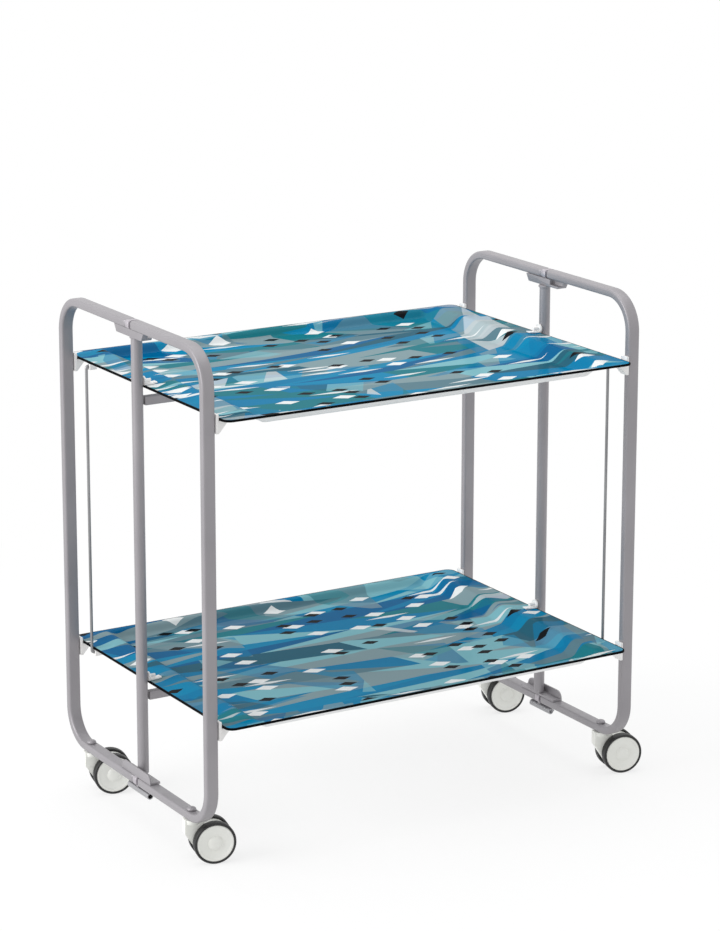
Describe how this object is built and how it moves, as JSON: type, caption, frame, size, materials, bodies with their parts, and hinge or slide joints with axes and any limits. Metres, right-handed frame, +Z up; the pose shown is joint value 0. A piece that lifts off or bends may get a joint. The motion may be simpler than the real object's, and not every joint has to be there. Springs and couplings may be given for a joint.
{
  "type": "folding serving trolley",
  "caption": "Two-tier serving trolley: tilting dished trays on centre posts between hinged tube end frames, link rods and swivel twin-wheel casters.",
  "frame": {"origin": "on the floor, at the middle of the object's box", "axes": "+Z up, front faces -Y, +X to the right of someone facing the front"},
  "size_m": [0.7132, 0.446, 0.689],
  "materials": {
    "frame_paint": "satin silver-grey paint",
    "white_plastic": "smooth white moulding",
    "tray_laminate": "printed gloss laminate, black edge",
    "caster_plastic": "smooth light grey moulding",
    "tyre": "matt black",
    "bright_steel": "bright drawn wire"
  },
  "bodies": {
    "base": {"post_left": "frame_paint", "post_right": "frame_paint", "top_fitting_left": "frame_paint", "top_fitting_right": "frame_paint", "bottom_fitting_left": "frame_paint", "bottom_fitting_right": "frame_paint", "spring_sleeve": "bright_steel", "spring_coil": "bright_steel"},
    "upper_tray": {"tray_upper": "tray_laminate", "beam_upper": "frame_paint", "clip_upper_front_left": "white_plastic", "clip_upper_rear_left": "white_plastic", "clip_upper_front_right": "white_plastic", "clip_upper_rear_right": "white_plastic", "pivot_upper_left": "white_plastic", "pivot_upper_right": "white_plastic", "rod_block_upper_left": "white_plastic", "rod_block_upper_right": "white_plastic"},
    "lower_tray": {"tray_lower": "tray_laminate", "beam_lower": "frame_paint", "clip_lower_front_left": "white_plastic", "clip_lower_rear_left": "white_plastic", "clip_lower_front_right": "white_plastic", "clip_lower_rear_right": "white_plastic", "pivot_lower_left": "white_plastic", "pivot_lower_right": "white_plastic", "rod_block_lower_left": "white_plastic", "rod_block_lower_right": "white_plastic"},
    "left_rod": {"rod_left": "bright_steel"},
    "right_rod": {"rod_right": "bright_steel"},
    "front_left_bow": {"bow_front_left": "frame_paint", "stud_front_left": "frame_paint"},
    "rear_left_bow": {"bow_rear_left": "frame_paint", "stud_rear_left": "frame_paint"},
    "front_right_bow": {"bow_front_right": "frame_paint", "stud_front_right": "frame_paint"},
    "rear_right_bow": {"bow_rear_right": "frame_paint", "stud_rear_right": "frame_paint"},
    "front_left_caster": {"caster_front_left": "caster_plastic"},
    "front_left_wheels": {"wheels_front_left": "caster_plastic", "tyre_near_front_left": "tyre", "tyre_far_front_left": "tyre"},
    "rear_left_caster": {"caster_rear_left": "caster_plastic"},
    "rear_left_wheels": {"wheels_rear_left": "caster_plastic", "tyre_near_rear_left": "tyre", "tyre_far_rear_left": "tyre"},
    "front_right_caster": {"caster_front_right": "caster_plastic"},
    "front_right_wheels": {"wheels_front_right": "caster_plastic", "tyre_near_front_right": "tyre", "tyre_far_front_right": "tyre"},
    "rear_right_caster": {"caster_rear_right": "caster_plastic"},
    "rear_right_wheels": {"wheels_rear_right": "caster_plastic", "tyre_near_rear_right": "tyre", "tyre_far_rear_right": "tyre"}
  },
  "joints": [
    {"name": "tray_fold", "type": "hinge", "parent": "base", "child": "upper_tray", "pos_m": [-0.02288, 0, 0.607], "axis": [-1, 0, 0], "range_deg": [0, 60]},
    {"name": "lower_tray_tilt", "type": "hinge", "parent": "base", "child": "lower_tray", "pos_m": [-0.02288, 0, 0.207], "axis": [-1, 0, 0], "range_deg": [0, 60]},
    {"name": "left_rod_hook", "type": "hinge", "parent": "upper_tray", "child": "left_rod", "pos_m": [-0.33433, 0.16, 0.5945], "axis": [-1, 0, 0], "range_deg": [-60, 0]},
    {"name": "right_rod_hook", "type": "hinge", "parent": "upper_tray", "child": "right_rod", "pos_m": [0.28857, -0.16, 0.5945], "axis": [-1, 0, 0], "range_deg": [-60, 0]},
    {"name": "front_left_bow_swing", "type": "hinge", "parent": "base", "child": "front_left_bow", "pos_m": [-0.34488, -0.012, 0.374], "axis": [0, 0, -1], "range_deg": [0, 68]},
    {"name": "rear_left_bow_swing", "type": "hinge", "parent": "base", "child": "rear_left_bow", "pos_m": [-0.34488, 0.012, 0.374], "axis": [0, 0, 1], "range_deg": [0, 68]},
    {"name": "front_right_bow_swing", "type": "hinge", "parent": "base", "child": "front_right_bow", "pos_m": [0.29912, -0.012, 0.374], "axis": [0, 0, 1], "range_deg": [0, 68]},
    {"name": "rear_right_bow_swing", "type": "hinge", "parent": "base", "child": "rear_right_bow", "pos_m": [0.29912, 0.012, 0.374], "axis": [0, 0, -1], "range_deg": [0, 68]},
    {"name": "front_left_swivel", "type": "hinge", "parent": "front_left_bow", "child": "front_left_caster", "pos_m": [-0.34488, -0.145, 0.058], "axis": [0, 0, 1], "continuous": true},
    {"name": "front_left_roll", "type": "hinge", "parent": "front_left_caster", "child": "front_left_wheels", "pos_m": [-0.31858, -0.15107, 0.028], "axis": [0.225, 0.9744, 0], "continuous": true},
    {"name": "rear_left_swivel", "type": "hinge", "parent": "rear_left_bow", "child": "rear_left_caster", "pos_m": [-0.34488, 0.145, 0.058], "axis": [0, 0, 1], "continuous": true},
    {"name": "rear_left_roll", "type": "hinge", "parent": "rear_left_caster", "child": "rear_left_wheels", "pos_m": [-0.31858, 0.13893, 0.028], "axis": [0.225, 0.9744, 0], "continuous": true},
    {"name": "front_right_swivel", "type": "hinge", "parent": "front_right_bow", "child": "front_right_caster", "pos_m": [0.29912, -0.145, 0.058], "axis": [0, 0, 1], "continuous": true},
    {"name": "front_right_roll", "type": "hinge", "parent": "front_right_caster", "child": "front_right_wheels", "pos_m": [0.32542, -0.15107, 0.028], "axis": [0.225, 0.9744, 0], "continuous": true},
    {"name": "rear_right_swivel", "type": "hinge", "parent": "rear_right_bow", "child": "rear_right_caster", "pos_m": [0.29912, 0.145, 0.058], "axis": [0, 0, 1], "continuous": true},
    {"name": "rear_right_roll", "type": "hinge", "parent": "rear_right_caster", "child": "rear_right_wheels", "pos_m": [0.32542, 0.13893, 0.028], "axis": [0.225, 0.9744, 0], "continuous": true}
  ],
  "couplings": [
    {"joint": "lower_tray_tilt", "follows": "tray_fold", "ratio": 1},
    {"joint": "left_rod_hook", "follows": "tray_fold", "ratio": -1},
    {"joint": "right_rod_hook", "follows": "tray_fold", "ratio": -1},
    {"joint": "front_left_bow_swing", "follows": "tray_fold", "ratio": 1.1333},
    {"joint": "rear_left_bow_swing", "follows": "tray_fold", "ratio": 1.1333},
    {"joint": "front_right_bow_swing", "follows": "tray_fold", "ratio": 1.1333},
    {"joint": "rear_right_bow_swing", "follows": "tray_fold", "ratio": 1.1333}
  ]
}
